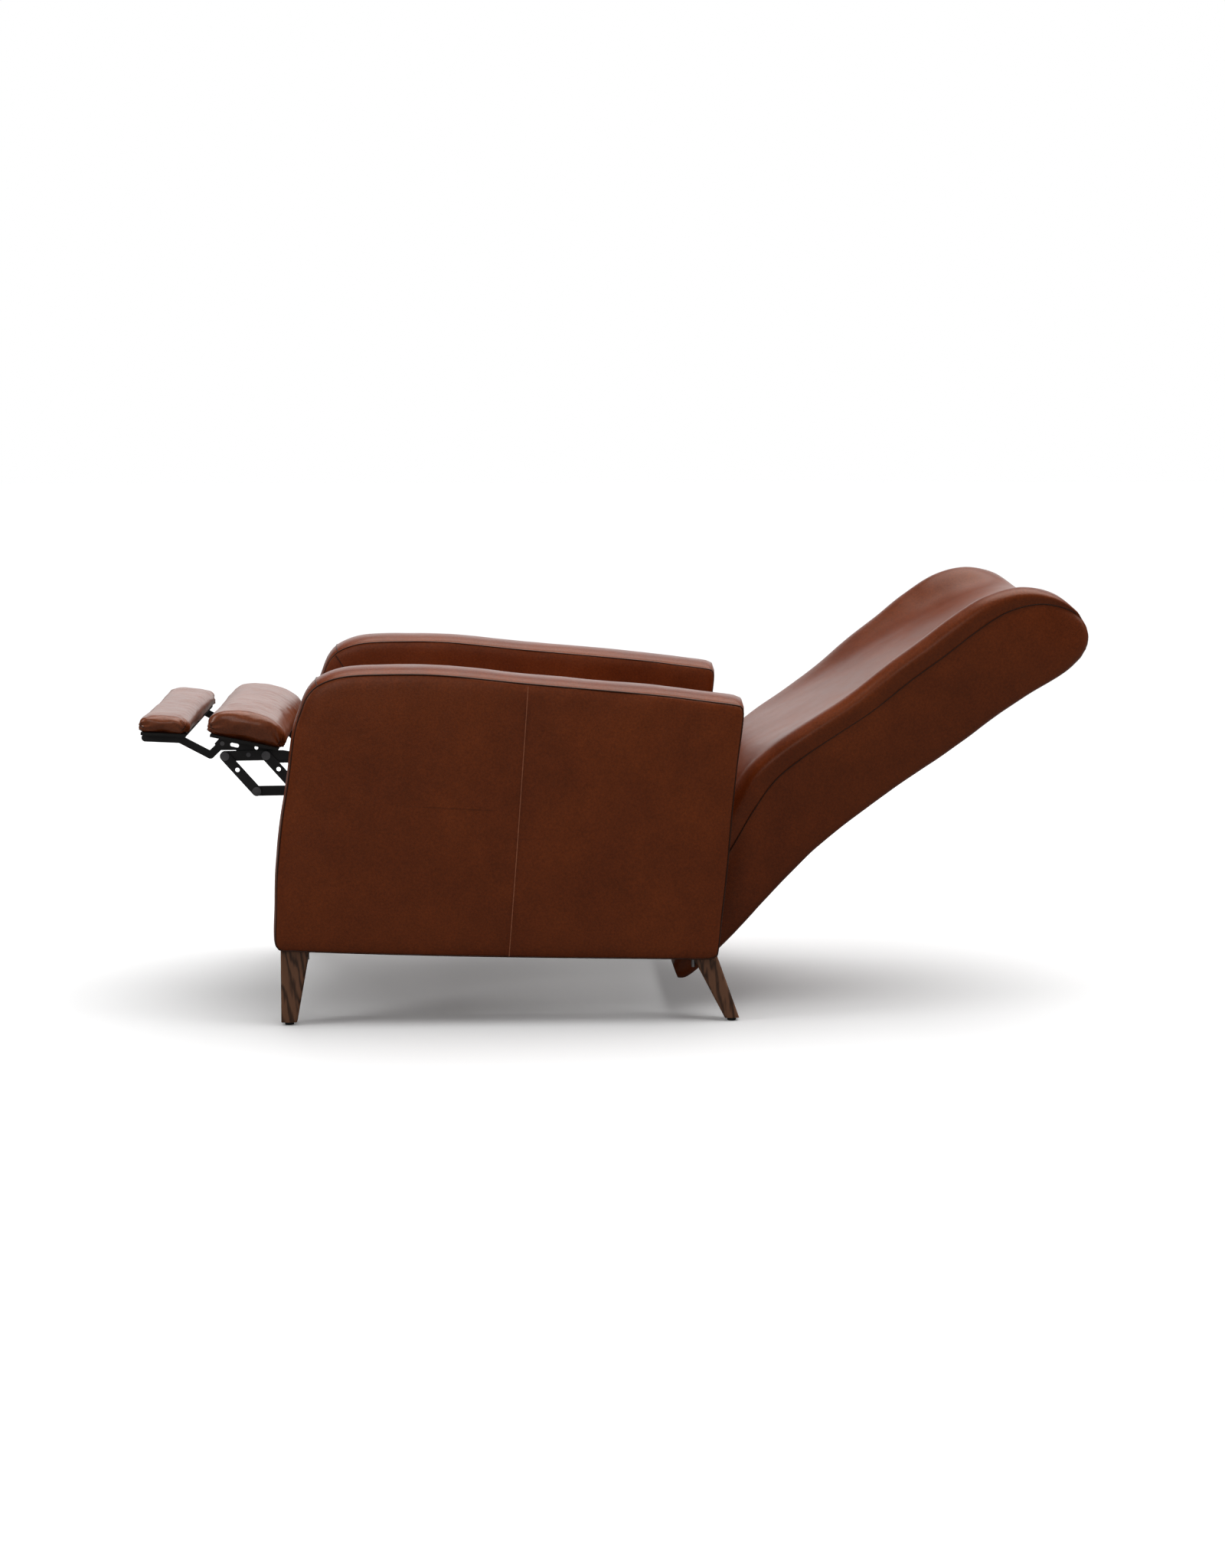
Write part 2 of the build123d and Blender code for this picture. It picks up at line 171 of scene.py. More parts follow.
leatherLook = {
    "coatRoughness": 0.24, "specular": 0.46, "specularTint": (1.0, 0.68, 0.52, 1),
    "smoothest": 0.27, "roughest": 0.43, "bumpStrength": 0.55, "bumpDistance": 0.0012,
    "poreDepth": 0.22, "mottleDepth": 0.30, "poreShade": 0.6,
}


def leatherGrainGroup():
    # Pores, creases and the cloudy dye of a full hide
    tree, source, sink = group("leatherHide", [
        ("Dye", "NodeSocketColor", (0.3, 0.1, 0.05, 1)),
        ("Deep Dye", "NodeSocketColor", (0.15, 0.05, 0.03, 1)),
        ("Pore Scale", "NodeSocketFloat", 900), ("Crease Amount", "NodeSocketFloat", 0.5),
    ], [("Color", "NodeSocketColor"), ("Roughness", "NodeSocketFloat"), ("Height", "NodeSocketFloat")])
    place = node(tree, "ShaderNodeTexCoord")
    link = tree.links.new
    cloud = node(tree, "ShaderNodeTexNoise", Scale=5.5, Detail=5, Roughness=0.6, Distortion=0.5)
    blotch = node(tree, "ShaderNodeTexNoise", Scale=26, Detail=6, Roughness=0.7)
    crease = node(tree, "ShaderNodeTexNoise", Scale=38, Detail=4, Roughness=0.62, Distortion=1.1)
    pore = node(tree, "ShaderNodeTexVoronoi", feature="F1")
    link(source.outputs["Pore Scale"], pore.inputs["Scale"])
    fine = node(tree, "ShaderNodeTexNoise", Scale=260, Detail=4, Roughness=0.65)
    for texture in (cloud, blotch, crease, pore, fine):
        link(place.outputs["Object"], texture.inputs["Vector"])
    cloudRamp = ramp(tree, 0.33, 0.68)
    link(cloud.outputs["Fac"], cloudRamp.inputs["Fac"])
    dye = mixColor(tree)
    link(cloudRamp.outputs["Color"], dye.inputs["Factor"])
    link(source.outputs["Deep Dye"], dye.inputs["A"])
    link(source.outputs["Dye"], dye.inputs["B"])
    blotchRamp = ramp(tree, 0.3, 0.75, (0.88, 0.86, 0.84, 1), (1.10, 1.09, 1.08, 1))
    link(blotch.outputs["Fac"], blotchRamp.inputs["Fac"])
    spotted = mixColor(tree, "MULTIPLY", 1)
    link(dye.outputs["Result"], spotted.inputs["A"])
    link(blotchRamp.outputs["Color"], spotted.inputs["B"])
    poreRamp = ramp(tree, 0.0, 0.35, (0.72, 0.68, 0.66, 1), (1, 1, 1, 1))
    link(pore.outputs["Distance"], poreRamp.inputs["Fac"])
    pored = mixColor(tree, "MULTIPLY", leatherLook["poreShade"])
    link(spotted.outputs["Result"], pored.inputs["A"])
    link(poreRamp.outputs["Color"], pored.inputs["B"])
    fineRamp = ramp(tree, 0.34, 0.68, (0.80, 0.78, 0.76, 1), (1.18, 1.20, 1.22, 1))
    link(fine.outputs["Fac"], fineRamp.inputs["Fac"])
    mottled = mixColor(tree, "MULTIPLY", 1)
    link(pored.outputs["Result"], mottled.inputs["A"])
    link(fineRamp.outputs["Color"], mottled.inputs["B"])
    link(mottled.outputs["Result"], sink.inputs["Color"])
    rough = node(tree, "ShaderNodeMapRange")
    rough.inputs["To Min"].default_value = leatherLook["smoothest"]
    rough.inputs["To Max"].default_value = leatherLook["roughest"]
    link(blotch.outputs["Fac"], rough.inputs["Value"])
    link(rough.outputs["Result"], sink.inputs["Roughness"])
    creased = node(tree, "ShaderNodeMath", operation="MULTIPLY")
    link(crease.outputs["Fac"], creased.inputs[0])
    link(source.outputs["Crease Amount"], creased.inputs[1])
    grain = node(tree, "ShaderNodeMath", operation="MULTIPLY_ADD")
    link(pore.outputs["Distance"], grain.inputs[0])
    grain.inputs[1].default_value = leatherLook["poreDepth"]
    link(creased.outputs[0], grain.inputs[2])
    height = node(tree, "ShaderNodeMath", operation="MULTIPLY_ADD")
    link(fine.outputs["Fac"], height.inputs[0])
    height.inputs[1].default_value = leatherLook["mottleDepth"]
    link(grain.outputs[0], height.inputs[2])
    link(height.outputs[0], sink.inputs["Height"])
    return tree


leatherHide = leatherGrainGroup()


def leather(name, dye, deepDye, creaseAmount=0.5, coat=0.12):
    material = bpy.data.materials.new(name)
    material.use_nodes = True
    tree = material.node_tree
    shader = tree.nodes["Principled BSDF"]
    shader.inputs["Coat Weight"].default_value = coat
    shader.inputs["Coat Roughness"].default_value = leatherLook["coatRoughness"]
    shader.inputs["Specular IOR Level"].default_value = leatherLook["specular"]
    shader.inputs["Specular Tint"].default_value = leatherLook["specularTint"]
    hide = tree.nodes.new("ShaderNodeGroup")
    hide.node_tree = leatherHide
    hide.inputs["Dye"].default_value = dye
    hide.inputs["Deep Dye"].default_value = deepDye
    hide.inputs["Crease Amount"].default_value = creaseAmount
    bump = node(tree, "ShaderNodeBump", Strength=leatherLook["bumpStrength"],
                Distance=leatherLook["bumpDistance"])
    tree.links.new(hide.outputs["Color"], shader.inputs["Base Color"])
    tree.links.new(hide.outputs["Roughness"], shader.inputs["Roughness"])
    tree.links.new(hide.outputs["Height"], bump.inputs["Height"])
    tree.links.new(bump.outputs["Normal"], shader.inputs["Normal"])
    return material


chestnutLeather = leather("chestnutLeather", (0.212, 0.039, 0.0055, 1), (0.158, 0.027, 0.0040, 1))
# The pads get a lighter copy of the chestnut leather: the lighter dye is painted light for pad tops facing
# the overhead light, and the stronger coat is real gloss
padLitLeather = leather("padLitLeather", (0.240, 0.056, 0.0140, 1), (0.185, 0.040, 0.0100, 1), 0.7, 0.5)
# Near-black cord leather: painted shade for the grooves of the turned seams and the creases of the pad
# folds
seamShadeLeather = leather("seamShadeLeather", (0.040, 0.009, 0.0035, 1), (0.028, 0.006, 0.0025, 1), 0.2)
stitchThread = leather("stitchThread", (0.420, 0.150, 0.075, 1), (0.360, 0.120, 0.060, 1), 0.1)


def grainWood(name, light, dark, scale, gloss):
    # Long wavy rings that run down the piece, with open pores
    material = bpy.data.materials.new(name)
    material.use_nodes = True
    tree = material.node_tree
    shader = tree.nodes["Principled BSDF"]
    link = tree.links.new
    place = node(tree, "ShaderNodeTexCoord")
    stretch = node(tree, "ShaderNodeMapping")
    stretch.inputs["Scale"].default_value = scale
    link(place.outputs["Object"], stretch.inputs["Vector"])
    rings = node(tree, "ShaderNodeTexWave", wave_type="BANDS", bands_direction="DIAGONAL",
                 Scale=1.6, Distortion=9, Detail=3, Detail_Scale=1.4)
    pores = node(tree, "ShaderNodeTexNoise", Scale=9, Detail=5, Roughness=0.7)
    link(stretch.outputs["Vector"], rings.inputs["Vector"])
    link(stretch.outputs["Vector"], pores.inputs["Vector"])
    mixed = node(tree, "ShaderNodeMath", operation="MULTIPLY_ADD")
    link(pores.outputs["Fac"], mixed.inputs[0])
    mixed.inputs[1].default_value = 0.55
    link(rings.outputs["Fac"], mixed.inputs[2])
    tone = ramp(tree, 0.25, 1.15, dark, light)
    link(mixed.outputs[0], tone.inputs["Fac"])
    link(tone.outputs["Color"], shader.inputs["Base Color"])
    rough = node(tree, "ShaderNodeMapRange")
    rough.inputs["To Min"].default_value = gloss
    rough.inputs["To Max"].default_value = gloss + 0.2
    link(pores.outputs["Fac"], rough.inputs["Value"])
    link(rough.outputs["Result"], shader.inputs["Roughness"])
    bump = node(tree, "ShaderNodeBump", Strength=0.35, Distance=0.0006)
    link(mixed.outputs[0], bump.inputs["Height"])
    link(bump.outputs["Normal"], shader.inputs["Normal"])
    return material


walnutStain = grainWood("walnutStain", (0.260, 0.118, 0.062, 1), (0.070, 0.031, 0.016, 1),
                        (26, 26, 4), 0.38)
frameBeech = grainWood("frameBeech", (0.55, 0.38, 0.22, 1), (0.36, 0.23, 0.12, 1), (18, 3, 18), 0.5)


def speckledSurface(name, base, lift, metallic, roughLow, roughHigh):
    material = bpy.data.materials.new(name)
    material.use_nodes = True
    tree = material.node_tree
    shader = tree.nodes["Principled BSDF"]
    shader.inputs["Metallic"].default_value = metallic
    link = tree.links.new
    place = node(tree, "ShaderNodeTexCoord")
    speck = node(tree, "ShaderNodeTexNoise", Scale=160, Detail=5, Roughness=0.65)
    scuff = node(tree, "ShaderNodeTexNoise", Scale=22, Detail=4, Roughness=0.6)
    link(place.outputs["Object"], speck.inputs["Vector"])
    link(place.outputs["Object"], scuff.inputs["Vector"])
    tone = ramp(tree, 0.35, 0.8, base, lift)
    link(scuff.outputs["Fac"], tone.inputs["Fac"])
    link(tone.outputs["Color"], shader.inputs["Base Color"])
    rough = node(tree, "ShaderNodeMapRange")
    rough.inputs["To Min"].default_value = roughLow
    rough.inputs["To Max"].default_value = roughHigh
    link(speck.outputs["Fac"], rough.inputs["Value"])
    link(rough.outputs["Result"], shader.inputs["Roughness"])
    bump = node(tree, "ShaderNodeBump", Strength=0.25, Distance=0.0003)
    link(speck.outputs["Fac"], bump.inputs["Height"])
    link(bump.outputs["Normal"], shader.inputs["Normal"])
    return material


blackPaint = speckledSurface("blackPaint", (0.012, 0.012, 0.013, 1), (0.030, 0.030, 0.032, 1),
                             0.4, 0.3, 0.5)
springWire = speckledSurface("springWire", (0.30, 0.30, 0.31, 1), (0.46, 0.46, 0.47, 1), 1.0, 0.3, 0.45)
rivetSteel = speckledSurface("rivetSteel", (0.10, 0.10, 0.11, 1), (0.24, 0.24, 0.25, 1), 0.9, 0.22, 0.4)
glidePlastic = speckledSurface("glidePlastic", (0.015, 0.015, 0.015, 1), (0.04, 0.04, 0.04, 1),
                               0.0, 0.5, 0.65)
dustCloth = speckledSurface("dustCloth", (0.010, 0.010, 0.010, 1), (0.022, 0.021, 0.020, 1),
                            0.0, 0.8, 0.95)

slotFinishes = {
    "dust_cloth": dustCloth,
    "leather": chestnutLeather, "leg_wood": walnutStain, "frame_wood": frameBeech,
    "black_steel": blackPaint, "spring_steel": springWire, "glide": glidePlastic,
}
slotOf = {part["node"]: part["material_slot"] for part in frame["record"]["subparts"]}
for name, piece in nodes.items():
    finish = rivetSteel if name.endswith("rivets") else slotFinishes[slotOf[name]]
    for index in range(max(1, len(piece.material_slots))):
        if index >= len(piece.data.materials):
            piece.data.materials.append(finish)
        else:
            piece.data.materials[index] = finish
print("materials built")


# Mesh helpers

def meshPiece(name, points, faces, material):
    mesh = bpy.data.meshes.new(name)
    mesh.from_pydata(points, [], faces)
    mesh.validate()
    piece = bpy.data.objects.new(name, mesh)
    bpy.context.collection.objects.link(piece)
    mesh.materials.append(material)
    mesh.polygons.foreach_set("use_smooth", [True] * len(mesh.polygons))
    return piece


def closedRings(rings):
    # Quads between neighbouring closed rings of the same length
    count = len(rings[0])
    points = [point for ring in rings for point in ring]
    faces = []
    for row in range(len(rings) - 1):
        for column in range(count):
            after = (column + 1) % count
            faces.append((row * count + column, row * count + after,
                          (row + 1) * count + after, (row + 1) * count + column))
    return points, faces


def smoothLine(points, steps, closed=False):
    # A curve that passes through every point
    size = len(points)
    spans = size if closed else size - 1
    line = []
    for index in range(spans):
        if closed:
            p0, p1, p2, p3 = (points[(index + shift - 1) % size] for shift in range(4))
        else:
            p0, p1, p2, p3 = (points[min(max(index + shift - 1, 0), size - 1)] for shift in range(4))
        for step in range(steps):
            t = step / steps
            line.append(tuple(
                0.5 * (2 * b + (c - a) * t + (2 * a - 5 * b + 4 * c - d) * t * t
                       + (3 * b - a - 3 * c + d) * t ** 3)
                for a, b, c, d in zip(p0, p1, p2, p3)))
    if not closed:
        line.append(tuple(points[-1]))
    return line


def evenLine(points, count, closed=False):
    # The same line with evenly spaced points
    path = [Vector(point) for point in points]
    if closed:
        path.append(path[0])
    lengths = [0.0]
    for start, end in zip(path, path[1:]):
        lengths.append(lengths[-1] + (end - start).length)
    result = []
    segment = 0
    total = count if closed else count - 1
    for index in range(count):
        target = lengths[-1] * index / total
        while segment < len(path) - 2 and lengths[segment + 1] < target:
            segment += 1
        span = max(lengths[segment + 1] - lengths[segment], 1e-9)
        result.append(path[segment].lerp(path[segment + 1], (target - lengths[segment]) / span))
    return result


def applyAll(piece):
    bpy.context.view_layer.objects.active = piece
    for modifier in list(piece.modifiers):
        bpy.ops.object.modifier_apply(modifier=modifier.name)


def ruffle(piece, amount, size, seed):
    # Slow unevenness that hand upholstery always has
    piece.data.update()
    normals = [vertex.normal.copy() for vertex in piece.data.vertices]
    shift = Vector((seed * 3.1, seed * 1.7, seed * 2.3))
    for vertex, normal in zip(piece.data.vertices, normals):
        wave = noise.noise(vertex.co / size + shift) + 0.4 * noise.noise(vertex.co / (size * 0.35) + shift)
        vertex.co += normal * wave * amount


def seam(name, points, body, radius=0.0011, material=seamShadeLeather):
    # A turned seam is a thin cord of doubled leather, coloured near-black as painted shade of its groove,
    # and a stitched one is a finer thread
    data = bpy.data.curves.new(name, "CURVE")
    data.dimensions = "3D"
    data.bevel_depth = radius
    data.bevel_resolution = 2
    spline = data.splines.new("POLY")
    spline.points.add(len(points) - 1)
    for target, point in zip(spline.points, points):
        target.co = (*point, 1)
    piece = bpy.data.objects.new(name, data)
    bpy.context.collection.objects.link(piece)
    data.materials.append(material)
    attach(piece, body)


def laidOn(piece, points):
    # The same points, dropped onto the nearest leather
    piece.data.update()
    bpy.context.view_layer.update()
    line = []
    for point in points:
        spot = piece.closest_point_on_mesh(Vector(point))[1]
        line.append(tuple(spot))
    return line


def pucker(piece, corner, reach, folds, depth):
    # Small folds that fan out from a gathered corner
    piece.data.update()
    normals = [vertex.normal.copy() for vertex in piece.data.vertices]
    for vertex, normal in zip(piece.data.vertices, normals):
        gap = vertex.co - Vector(corner)
        if gap.length > reach:
            continue
        fade = (1 - gap.length / reach) ** 1.5 * min(gap.length / (reach * 0.15), 1)
        turn = math.atan2(gap.z, gap.y) + math.atan2(gap.x, math.hypot(gap.y, gap.z))
        vertex.co += normal * (math.sin(turn * folds) - 0.4) * depth * fade


def inflate(piece, capture, strength, frames=20, voxel=0.005):
    # Cloth under inner pressure, with a limit on how far the skin may swell
    remesh = piece.modifiers.new("remesh", "REMESH")
    remesh.mode = "VOXEL"
    remesh.voxel_size = voxel
    applyAll(piece)
    start = [vertex.co.copy() for vertex in piece.data.vertices]
    cloth = piece.modifiers.new("cloth", "CLOTH")
    cloth.settings.use_pressure = True
    cloth.settings.uniform_pressure_force = strength
    cloth.settings.effector_weights.gravity = 0
    cloth.settings.quality = 4
    scene = bpy.context.scene
    for frameNumber in range(1, frames + 1):
        scene.frame_set(frameNumber)
    applyAll(piece)
    scene.frame_set(1)
    for vertex, origin in zip(piece.data.vertices, start):
        move = vertex.co - origin
        if move.length > capture:
            vertex.co = origin + move.normalized() * capture
    smooth = piece.modifiers.new("smooth", "SMOOTH")
    smooth.factor = 0.5
    smooth.iterations = 4
    finer = piece.modifiers.new("finer", "SUBSURF")
    finer.levels = finer.render_levels = 1
    applyAll(piece)
    piece.data.polygons.foreach_set("use_smooth", [True] * len(piece.data.polygons))


# Arms: a padded band runs round the edge, between a seam on the outer face and one on the inner

arm = {
    "outer": 0.375, "inner": 0.265, "points": 300,
    "topCrown": 0.0115, "frontCrown": 0.006, "sideSwell": 0.004,
    "seamDip": 0.0016, "edgeRound": 0.007, "roundPower": 3.2, "rearCrown": 0.003,
    "edgeFade": 0.006, "swellFade": 0.05,
    "outline": [(-0.598, 0.158), (-0.5955, 0.215), (-0.593, 0.283), (-0.5845, 0.365), (-0.571, 0.446),
                (-0.559, 0.527), (-0.547, 0.567), (-0.534, 0.596), (-0.512, 0.615), (-0.470, 0.628),
                (-0.400, 0.6315), (-0.300, 0.6295), (-0.150, 0.614), (0.064, 0.594), (0.160, 0.582),
                (0.218, 0.574), (0.2275, 0.567), (0.2265, 0.536), (0.217, 0.461), (0.210, 0.386),
                (0.201, 0.277), (0.192, 0.194), (0.186, 0.134), (0.180, 0.1225), (0.160, 0.1195),
                (0.093, 0.121), (-0.186, 0.127), (-0.410, 0.134), (-0.560, 0.1405),
                (-0.590, 0.1425)],
    "spine": ((-0.470, 0.380), (0.090, 0.350)),
    "inset": [0.0, 0.012, 0.03, 0.06, 0.1, 0.16, 0.24, 0.34, 0.46, 0.6, 0.75, 0.9],
    "across": [0.0, 0.02, 0.05, 0.1, 0.18, 0.28, 0.39, 0.5, 0.61, 0.72, 0.82, 0.9, 0.95, 0.98, 1.0],
}


def spinePoint(point):
    (y0, z0), (y1, z1) = arm["spine"]
    run = Vector((y1 - y0, z1 - z0))
    share = (Vector(point) - Vector((y0, z0))).dot(run) / run.length_squared
    share = min(max(share, 0), 1)
    return Vector((y0, z0)) + run * share


def armLoop():
    line = smoothLine(arm["outline"], 8, closed=True)
    return [Vector(point) for point in evenLine([(y, z, 0) for y, z in line], arm["points"], True)]


armEdge = [Vector((point.x, point.y)) for point in armLoop()]


def outward(index):
    before = armEdge[index - 1]
    after = armEdge[(index + 1) % len(armEdge)]
    along = (after - before).normalized()
    return Vector((-along.y, along.x))


def crownAt(index):
    # The top is the thickest padding, the front less, the rear and the bottom nearly none
    facing = outward(index)
    top = max(facing.y, 0) ** 2
    front = max(-facing.x, 0) ** 2
    rear = max(facing.x, 0) ** 2
    return arm["topCrown"] * top + arm["frontCrown"] * front + arm["rearCrown"] * rear


def armSkin(side):
    rings = []
    outerX, innerX = arm["outer"], arm["inner"]
    for share in reversed(arm["inset"]):
        ring = []
        for point in armEdge:
            heart = spinePoint(point)
            reach = (point - heart).length * share
            spot = point.lerp(heart, share)
            swell = arm["sideSwell"] * (1 - math.exp(-reach / arm["swellFade"]))
            fall = (arm["edgeRound"] * 0.5) * math.exp(-reach / arm["edgeFade"])
            ring.append((side * (outerX - 0.004 + swell - fall), spot.x, spot.y))
        rings.append(ring)
    for share in arm["across"]:
        ring = []
        roundness = 1 - (abs(share - 0.5) * 2) ** arm["roundPower"]
        for index, point in enumerate(armEdge):
            lift = crownAt(index) * roundness - (arm["seamDip"] if share in (0.0, 1.0) else 0)
            spot = point + outward(index) * lift
            ring.append((side * (outerX - 0.0075 - (outerX - innerX - 0.0115) * share), spot.x, spot.y))
        rings.append(ring)
    for share in arm["inset"]:
        ring = []
        for point in armEdge:
            heart = spinePoint(point)
            reach = (point - heart).length * share
            spot = point.lerp(heart, share)
            fall = (arm["edgeRound"] * 0.5) * math.exp(-reach / arm["edgeFade"])
            ring.append((side * (innerX + 0.0005 + fall), spot.x, spot.y))
        rings.append(ring)
    points, faces = closedRings(rings)
    count = len(armEdge)
    faces.append(tuple(range(count - 1, -1, -1)))
    faces.append(tuple(range(len(points) - count, len(points))))
    if side > 0:
        faces = [tuple(reversed(face)) for face in faces]
    return points, faces


def edgeSeam(side, x, lift):
    # Once round the arm, back to the first point
    line = []
    for step in range(len(armEdge) + 1):
        index = step % len(armEdge)
        spot = armEdge[index] + outward(index) * lift
        line.append((side * x, spot.x, spot.y))
    return line


for name, side in (("left", 1), ("right", -1)):
    points, faces = armSkin(side)
    cover = meshPiece(f"arm_cover_{name}", points, faces, chestnutLeather)
    ruffle(cover, 0.0011, 0.11, 1 if side > 0 else 2)
    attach(cover, "base")
    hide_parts(*(f"arm_{part}_{name}" for part in
                         ("outer_panel", "inner_panel", "top_pad", "front_band", "rear_band")))
    seam(f"arm_outer_seam_{name}", edgeSeam(side, arm["outer"] - 0.0070, -0.0004), "base", 0.0014)
    seam(f"arm_inner_seam_{name}", edgeSeam(side, arm["inner"] + 0.0035, -0.0008), "base")


def nearestEdge(y, z):
    return min(range(len(armEdge)), key=lambda i: (armEdge[i].x - y) ** 2 + (armEdge[i].y - z) ** 2)


def overBand(side, index, lift=0.0002):
    # Across the padded band from the outer seam to the inner one
    line = []
    for step in range(33):
        share = step / 32
        roundness = 1 - (abs(share - 0.5) * 2) ** arm["roundPower"]
        spot = armEdge[index] + outward(index) * (crownAt(index) * roundness + lift)
        line.append((side * (arm["outer"] - 0.0075 - (arm["outer"] - arm["inner"] - 0.0115) * share),
                     spot.x, spot.y))
    return line


def onFace(side, x, points):
    # Along a face, a hair proud of the leather
    line = evenLine([(y, z, 0) for y, z in points], 60)
    return [(side * x, point.x, point.y) for point in line]


kink = nearestEdge(-0.520, 0.610)
for name, side in (("left", 1), ("right", -1)):
    seam(f"arm_front_seam_{name}", overBand(side, kink), "base", 0.0009)
    seam(f"arm_mid_seam_{name}", onFace(side, arm["outer"] + 0.0001, [
        (-0.150, 0.6100), (-0.1600, 0.471), (-0.172, 0.308), (-0.186, 0.130)]),
        "base", 0.0009, stitchThread)
    seam(f"arm_inner_diagonal_{name}", onFace(side, arm["inner"] + 0.0003, [
        (-0.522, 0.604), (-0.480, 0.540), (-0.420, 0.440)]), "base", 0.0009)
print("arms built")

# Back: one padded skin over the frame, with wings whose rolled edges stand ahead of the middle

back = {
    "stations": [
        # rear point, front edge, half width, how far the middle comes forward, width of the roll
        ((0.122, 0.056), (0.112, 0.086), 0.250, 1.00, 0.010),
        ((0.150, 0.0655), (0.118, 0.115), 0.256, 1.00, 0.020),
        ((0.227, 0.142), (0.142, 0.208), 0.256, 1.00, 0.035),
        ((0.282, 0.203), (0.160, 0.285), 0.256, 1.00, 0.045),
        ((0.338, 0.262), (0.187, 0.345), 0.256, 1.04, 0.050),
        ((0.393, 0.312), (0.215, 0.397), 0.256, 1.05, 0.052),
        ((0.449, 0.356), (0.250, 0.449), 0.258, 1.03, 0.054),
        ((0.504, 0.398), (0.300, 0.492), 0.262, 0.99, 0.055),
        ((0.559, 0.438), (0.353, 0.528), 0.267, 0.955, 0.055),
        ((0.628, 0.489), (0.420, 0.574), 0.278, 0.90, 0.055),
        ((0.697, 0.544), (0.484, 0.626), 0.290, 0.83, 0.054),
        ((0.752, 0.582), (0.548, 0.676), 0.299, 0.77, 0.053),
        ((0.802, 0.6135), (0.606, 0.722), 0.305, 0.72, 0.051),
        ((0.834, 0.640), (0.665, 0.759), 0.307, 0.68, 0.048),
        ((0.851, 0.664), (0.730, 0.775), 0.305, 0.66, 0.044),
        ((0.856, 0.684), (0.790, 0.764), 0.302, 0.70, 0.036),
        ((0.853, 0.700), (0.832, 0.733), 0.298, 0.80, 0.018),
    ],
    "spanSteps": 7, "loopPoints": 150, "wingWidth": 0.050,
}


def backSection(station):
    # Half of the section, from the middle of the rear round the side to the middle of the front
    rearY, rearZ, frontY, frontZ, half, middle, roll = station
    deep = math.hypot(frontY - rearY, frontZ - rearZ)
    corner = min(0.012, deep * 0.25)
    wing = back["wingWidth"]
    floor = deep * middle
    drop = max(deep - floor, 0)
    swell = max(floor - deep, 0)
    return [
        (0.0, -0.004), (half * 0.5, -0.0035), (half - 0.03, -0.001), (half - 0.009, corner * 0.18),
        (half - 0.001, corner), (half + 0.0005, deep * 0.35), (half, (deep - roll) * 0.75),
        (half - 0.0015, deep - roll), (half + 0.004, deep - roll * 0.62), (half + 0.002, deep - roll * 0.3),
        (half - wing * 0.28, deep - roll * 0.05), (half - wing * 0.55, deep - drop * 0.02),
        (half - wing * 0.95, deep - drop * 0.22), (half - wing * 1.7, deep - drop * 0.72 + swell * 0.3),
        (half - wing * 2.8, deep - drop * 0.97 + swell * 0.75), (0.0, floor),
    ]


def backPoint(station, x, depth):
    rearY, rearZ, frontY, frontZ = station[:4]
    deep = math.hypot(frontY - rearY, frontZ - rearZ)
    return (x, rearY + (frontY - rearY) * depth / deep, rearZ + (frontZ - rearZ) * depth / deep)


def backStations():
    flat = [(*rear, *front, half, middle, roll) for rear, front, half, middle, roll in back["stations"]]
    return smoothLine(flat, back["spanSteps"])


def sectionRing(station):
    half = backSection(station)
    closed = half + [(-x, depth) for x, depth in reversed(half[1:-1])]
    line = smoothLine(closed, 8, closed=True)
    even = evenLine([(x, depth, 0) for x, depth in line], back["loopPoints"], True)
    return [backPoint(station, point.x, point.y) for point in even]


stations = backStations()
rings = [sectionRing(station) for station in stations]
points, faces = closedRings(rings)
loop = back["loopPoints"]
for ring, flip in ((0, 1), (len(rings) - 1, -1)):
    middle = sum((Vector(point) for point in rings[ring]), Vector()) / loop
    points.append(tuple(middle))
    heart = len(points) - 1
    for index in range(loop):
        pair = (ring * loop + index, ring * loop + (index + 1) % loop)
        faces.append((pair[1], pair[0], heart) if flip > 0 else (pair[0], pair[1], heart))
backCover = meshPiece("back_cover", points, faces, chestnutLeather)
ruffle(backCover, 0.0015, 0.12, 5)
finer = backCover.modifiers.new("finer", "SUBSURF")
finer.levels = finer.render_levels = 1
applyAll(backCover)
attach(backCover, "back")
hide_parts("back_rear_panel", "back_wing_left", "back_wing_right", "back_cushion")
for name, side in (("left", 1), ("right", -1)):
    line = []
    for station in stations[10:-4]:
        rearY, rearZ, frontY, frontZ, half, middle, roll = station
        deep = math.hypot(frontY - rearY, frontZ - rearZ)
        x, y, z = backPoint(station, half - 0.0008, deep - roll)
        line.append((side * x, y, z))
    seam(f"back_side_seam_{name}", line, "back")
print("back built")

# Seat cushion, deck pad and the two leg-rest pads

seat = {"halfWidth": 0.2585, "swell": 0.022, "pressure": 4.0}
legRest = {"pressure": 4.0, "halfWidth": 0.243}


def softBlock(name, outline, low, high, rounding, material, columns=26):
    # A side outline carried across X, drawn in near both ends
    line = evenLine([(y, z, 0) for y, z in smoothLine(outline, 6, closed=True)], 120, True)
    heart = sum(line, Vector()) / len(line)
    rings = []
    for column in range(columns + 1):
        share = column / columns
        x = low + (high - low) * (0.5 - 0.5 * math.cos(math.pi * share))
        edge = min(x - low, high - x)
        pull = rounding * (1 - math.sqrt(max(0, 1 - (1 - min(edge / rounding, 1)) ** 2)))
        ring = []
        for point in line:
            reach = (point - heart).length
            spot = heart + (point - heart) * max(0, (reach - pull)) / reach
            ring.append((x, spot.x, spot.y))
        rings.append(ring)
    points, faces = closedRings(rings)
    count = len(line)
    faces.append(tuple(range(count - 1, -1, -1)))
    faces.append(tuple(range(len(points) - count, len(points))))
    return meshPiece(name, points, faces, material)


